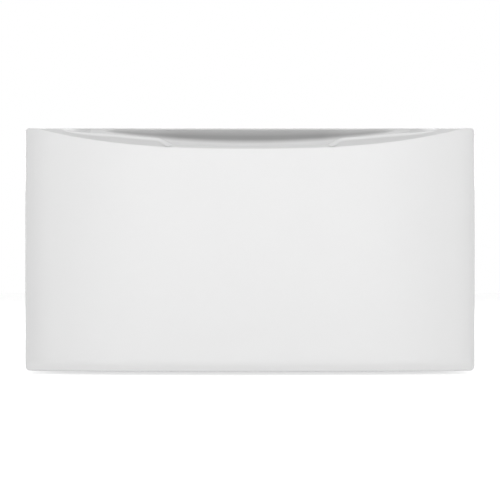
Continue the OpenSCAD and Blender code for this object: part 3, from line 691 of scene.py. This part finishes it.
wall, end_wall, hollow_low, hollow_steps = 0.003, 0.006, 0.016, 80
hollow_high, hollow_half = channel_floor - wall, front_half - end_wall
hollow_xs = [hollow_half * (2 * i / hollow_steps - 1) for i in range(hollow_steps + 1)]
bpy.ops.mesh.primitive_grid_add(x_subdivisions=hollow_steps, y_subdivisions=1, size=1)
hollow = bpy.context.active_object
hollow.data.vertices.foreach_set("co", [
    value for back in (False, True) for x in hollow_xs
    for value in (x, rim_y if back else bow(x, wall), hollow_low)])
take(hollow)
bpy.ops.object.mode_set(mode="EDIT")
bpy.ops.mesh.select_all(action="SELECT")
bpy.ops.mesh.extrude_region_move(
    TRANSFORM_OT_translate={"value": (0, 0, hollow_high - hollow_low)})
bpy.ops.mesh.select_all(action="SELECT")
bpy.ops.mesh.normals_make_consistent(inside=False)
bpy.ops.object.mode_set(mode="OBJECT")
rib_thickness, rib_back = 0.002, rim_y - 0.0062
across_all, up_all, mid_height = 0.8, 0.5, 0.2
boss_xs, boss_zs = (-0.255, 0.0, 0.255), (0.100, 0.260)
rib_middle, rib_depth = (crown_y + rib_back) / 2, rib_back - crown_y
for x in boss_xs:
    bpy.ops.mesh.primitive_cube_add(size=1, location=(x, rib_middle, mid_height),
                                    scale=(rib_thickness, rib_depth, up_all))
    cut(hollow, bpy.context.active_object)
for z in boss_zs:
    bpy.ops.mesh.primitive_cube_add(size=1, location=(0, rib_middle, z),
                                    scale=(across_all, rib_depth, rib_thickness))
    cut(hollow, bpy.context.active_object)
boss_radius, boss_length, boss_back = 0.005, 0.06, rim_y - 0.0012
pointing_back = Matrix.Rotation(math.radians(-90), 4, "X")
for x in boss_xs:
    for z in boss_zs:
        boss = spun("boss", [(0, -boss_length), (boss_radius, -boss_length), (boss_radius, 0),
                             (0, 0)], steps=24)
        boss.data.transform(Matrix.Translation((x, boss_back, z)) @ pointing_back)
        cut(hollow, boss)
cut(front, hollow)
shade(front, angle=32)
gloss_white = coated(
    "gloss_white_plastic", "front_plastic", pale=(0.86, 0.86, 0.86), dim=(0.845, 0.845, 0.845),
    roughness=0.08, ripple_size=0.0022, ripple_depth=0.000004)
gloss_white.feed(gloss_white.shader, {"Coat Weight": 1.0, "Coat Roughness": 0.03})

# The pocket's grey is painted shade. It runs out into white towards the lip, the ends and the foot
# of the roof.
shade_fade_from, shade_fade_to, shade_fade_share = notch_half, 0.150, 0.22
end_from, end_to = 0.205, 0.245
lip_from, lip_to, lip_spread, lip_share = 0.012, 0.001, 0.15, 0.75
foot_from, foot_to, foot_spread, foot_share = 0.0042, 0.0034, 0.06, 0.92
grain_size, grain_share = 0.0008, 0.06
# The grain is the plastic's own. The grey is painted shade, darkest in the middle of the pocket.
painted_pocket_shade = Finish("grained_grey_painted_shade", "front_plastic")
shade_across = painted_pocket_shade.node("SeparateXYZ", {}, {0: painted_pocket_shade.place}, "X")
shade_height = painted_pocket_shade.node("SeparateXYZ", {}, {0: painted_pocket_shade.place}, "Z")
from_middle = shade_across * shade_across
near_end = (shade_fade_share * from_middle.within(shade_fade_from ** 2, shade_fade_to ** 2)
            + from_middle.within(end_from ** 2, end_to ** 2))
near_lip = shade_height.within(front_high.z - lip_from + lip_spread * from_middle,
                              front_high.z - lip_to)
above_foot = (shade_height - (front_high.z - roof_height)
              - roof_height / pocket_depth / (2 * pocket_radius) * from_middle)
near_foot = 1 - above_foot.within(-foot_from, foot_to - foot_spread * from_middle)
grain = painted_pocket_shade.noise(grain_size, detail=3)
paleness = lip_share * near_lip + near_end + foot_share * near_foot + grain_share * grain
painted_pocket_shade.feed(painted_pocket_shade.shader, {
    "Base Color": painted_pocket_shade.blend(paleness, (0.40, 0.40, 0.40), (0.86, 0.86, 0.86)),
    "Roughness": 0.50 + 0.15 * grain,
    "Normal": painted_pocket_shade.relief(grain, 0.00003),
})
finished(front, gloss_white, "drawer", "drawer_front")
front.data.materials.append(painted_pocket_shade.material)
# The pocket's wall and roof behind the channel take the painted shade.
painted_shade_bottom, painted_shade_front = channel_floor + 0.012, channel_y + 0.0008
facing_up, facing_wall = 0.02, 0.1
for face in front.data.polygons:
    if (face.center.z > painted_shade_bottom and face.center.y > painted_shade_front
            and abs(face.center.x) < pocket_half
            and face.normal.z < facing_up and face.normal.y < facing_wall):
        face.material_index = 1

# ---- Screws ----
# Zinc-plated pan-head screws with a cross recess: six from inside the drawer into the front's
# bosses, and eight through the back panel into the side trays' flanges.


def pan_head_screw(name, head_height, length):
    """A screw whose head stands up from the origin and whose shank hangs below."""
    head_radius, shank_radius, tip_radius, tip_length = 0.004, 0.0019, 0.0008, 0.0015
    recess_length, recess_width = 0.0042, 0.0009
    screw = spun(name, [
        (0, -length), (tip_radius, -length), (shank_radius, tip_length - length),
        (shank_radius, 0), (head_radius, 0), (head_radius, head_height * 0.35),
        (head_radius * 0.93, head_height * 0.7), (head_radius * 0.72, head_height * 0.92),
        (0, head_height)], steps=32)
    for turn in (0, 90):
        bpy.ops.mesh.primitive_cube_add(size=1, location=(0, 0, head_height),
                                        scale=(recess_length, recess_width, head_height),
                                        rotation=(0, 0, math.radians(turn)))
        cut(screw, bpy.context.active_object)
    take(screw)
    bpy.ops.object.shade_smooth_by_angle(angle=math.radians(35))
    return screw


front_screw = pan_head_screw("front_screw", head_height=0.0024, length=0.0152)
finished(placed(front_screw, "front_pan_heads", [
    Matrix.Translation((x, rim_y, z)) @ pointing_back for x in boss_xs for z in boss_zs]),
    plated, "drawer", "drawer_front_screws")
back_low, back_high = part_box("back_panel_screws")
back_head_height, head_half, back_rows = 0.0015, 0.004, 4
back_face = back_high.y - back_head_height
back_xs = (back_low.x + head_half, back_high.x - head_half)
back_reach = back_high.z - back_low.z - 2 * head_half
back_zs = [back_low.z + head_half + back_reach * i / (back_rows - 1) for i in range(back_rows)]
back_screw = pan_head_screw("back_screw", back_head_height, length=0.005)
finished(placed(back_screw, "back_pan_heads", [
    Matrix.Translation((x, back_face, z)) @ pointing_back for x in back_xs for z in back_zs]),
    plated, "cabinet", "back_panel_screws")
discard(front_screw, back_screw)

# ---- Bumpers ----
# Four black rubber buttons, domed and a little hollow at the tip. They are stuck to the inner
# front and quieten the drawer as it closes.
rubber = coated(
    "black_rubber", "bumper_rubber", pale=(0.050, 0.050, 0.050), dim=(0.034, 0.034, 0.034),
    roughness=0.62, ripple_size=0.0004, ripple_depth=0.00004)
bumper_low, bumper_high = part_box("drawer_bumpers")
bumper_radius, bumper_height = 0.006, bumper_high.y - bumper_low.y
button = spun("button", [
    (0, 0), (bumper_radius, 0), (bumper_radius, 0.0018), (0.0056, 0.003),
    (0.0045, bumper_height - 0.0002), (0.0028, bumper_height),
    (0.0012, bumper_height - 0.0003), (0, bumper_height - 0.0005)], steps=32)
take(button)
bpy.ops.object.shade_smooth_by_angle(angle=math.radians(50))
finished(placed(button, "rubber_buttons", [
    Matrix.Translation((x, bumper_low.y, z)) @ pointing_back
    for x in (bumper_low.x + bumper_radius, bumper_high.x - bumper_radius)
    for z in (bumper_low.z + bumper_radius, bumper_high.z - bumper_radius)]),
    rubber, "drawer", "drawer_bumpers")
discard(button)

# ---- Studio ----
# A pale floor and a white surround, a large soft lamp in front, one above and behind, and one at
# each side. Gloss mirrors a pale panel in front, darker at its sides and overhead. The level
# camera stands straight in front, a little over three metres away.
floor_size, floor_glow, paper_cloud = 12, 0.62, 0.3
bpy.ops.mesh.primitive_plane_add(size=floor_size)
floor = bpy.context.active_object
floor.name = "floor"
paper = Finish("pale_floor", None)
seen = paper.node("LightPath", {}, {}, "Is Camera Ray")
paper.feed(paper.shader, {
    "Base Color": paper.blend(paper.noise(paper_cloud), (0.82, 0.82, 0.82), (0.84, 0.84, 0.84)),
    "Roughness": 0.9,
})
glow = paper.node("Emission", {}, {"Strength": floor_glow * seen})
lit = paper.node("AddShader", {}, {0: Reading(paper, paper.shader.outputs[0]), 1: glow})
clear = paper.node("BsdfTransparent", {}, {})
under = paper.node("NewGeometry", {}, {}, "Backfacing")
paper.feed(paper.nodes["Material Output"], {
    "Surface": paper.node("MixShader", {}, {0: under, 1: lit, 2: clear})})
floor.data.materials.append(paper.material)
floor.visible_glossy = False

surround_level, panel_level, side_level, overhead_level = 0.37, 1.7, 0.9, 0.75
panel_middle, first_fall = 0.01, 0.30
panel_dims, panel_ends, side_starts, overhead_starts = (
    (low ** 2, high ** 2) for low, high in ((0.29, 0.45), (0.50, 0.555), (0.75, 0.9), (0.22, 0.55)))
surround = Finish("surround", None, bpy.data.worlds.new("surround"))
bpy.context.scene.world = surround.material
toward = surround.node("TexCoord", {}, {}, "Generated")
aside = surround.node("SeparateXYZ", {}, {0: toward}, "X")
upward = surround.node("SeparateXYZ", {}, {0: toward}, "Z")
aside, upward = (aside - panel_middle) * (aside - panel_middle), upward * upward
past_panel = (first_fall * aside.within(*panel_dims)
              + (1 - first_fall) * aside.within(*panel_ends))
beside = panel_level * (1 - past_panel) + side_level * aside.within(*side_starts)
overhead = upward.within(*overhead_starts)
mirrored_level = beside + overhead * (overhead_level - beside)
behind_object = surround.node("LightPath", {}, {}, "Is Camera Ray")
in_gloss = surround.node("LightPath", {}, {}, "Is Glossy Ray")
surround.feed(surround.nodes["Background"], {
    "Color": (1, 1, 1, 1),
    "Strength": (surround_level + (1 - surround_level) * behind_object
                 + in_gloss * (mirrored_level - surround_level)),
})


def softbox(name, width, height, watts, location, tilt, turn=0):
    """A lamp that the camera doesn't see, tilted from straight down and turned, in degrees."""
    data = bpy.data.lights.new(name, "AREA")
    data.shape, data.size, data.size_y, data.energy = "RECTANGLE", width, height, watts
    lamp = bpy.data.objects.new(name, data)
    lamp.location = location
    lamp.rotation_euler = (math.radians(tilt), 0, math.radians(turn))
    lamp.visible_camera = False
    bpy.context.collection.objects.link(lamp)
    return lamp


front_lamp = softbox("front_softbox", 3.6, 1.8, watts=242, location=(0.1, -6.5, 0.45), tilt=89)
front_lamp.visible_glossy = False
softbox("rear_softbox", 2.6, 1.2, watts=50, location=(0, 2.6, 2.4), tilt=-52)
softbox("left_softbox", 1.6, 1.0, watts=24, location=(-2.8, 1.5, 0.9), tilt=80, turn=-115)
softbox("right_softbox", 1.6, 1.0, watts=24, location=(2.8, 1.5, 0.9), tilt=80, turn=115)

camera_distance, camera_height = 3.35, 0.1893
frame_half, pixels_across_front = 250, 449.3
camera_data = bpy.data.cameras.new("camera")
camera_data.sensor_width = 36
silhouette_depth = camera_distance + bow_depth + end_roll
half_view = front_half * 2 / pixels_across_front * frame_half
camera_data.lens = camera_data.sensor_width / 2 * silhouette_depth / half_view
camera_data.clip_end = 50
camera = bpy.data.objects.new("camera", camera_data)
camera.location = (0, crown_y - camera_distance, camera_height)
camera.rotation_euler = (math.radians(90), 0, 0)
bpy.context.collection.objects.link(camera)
bpy.context.scene.camera = camera
bpy.context.scene.view_settings.view_transform = "Standard"
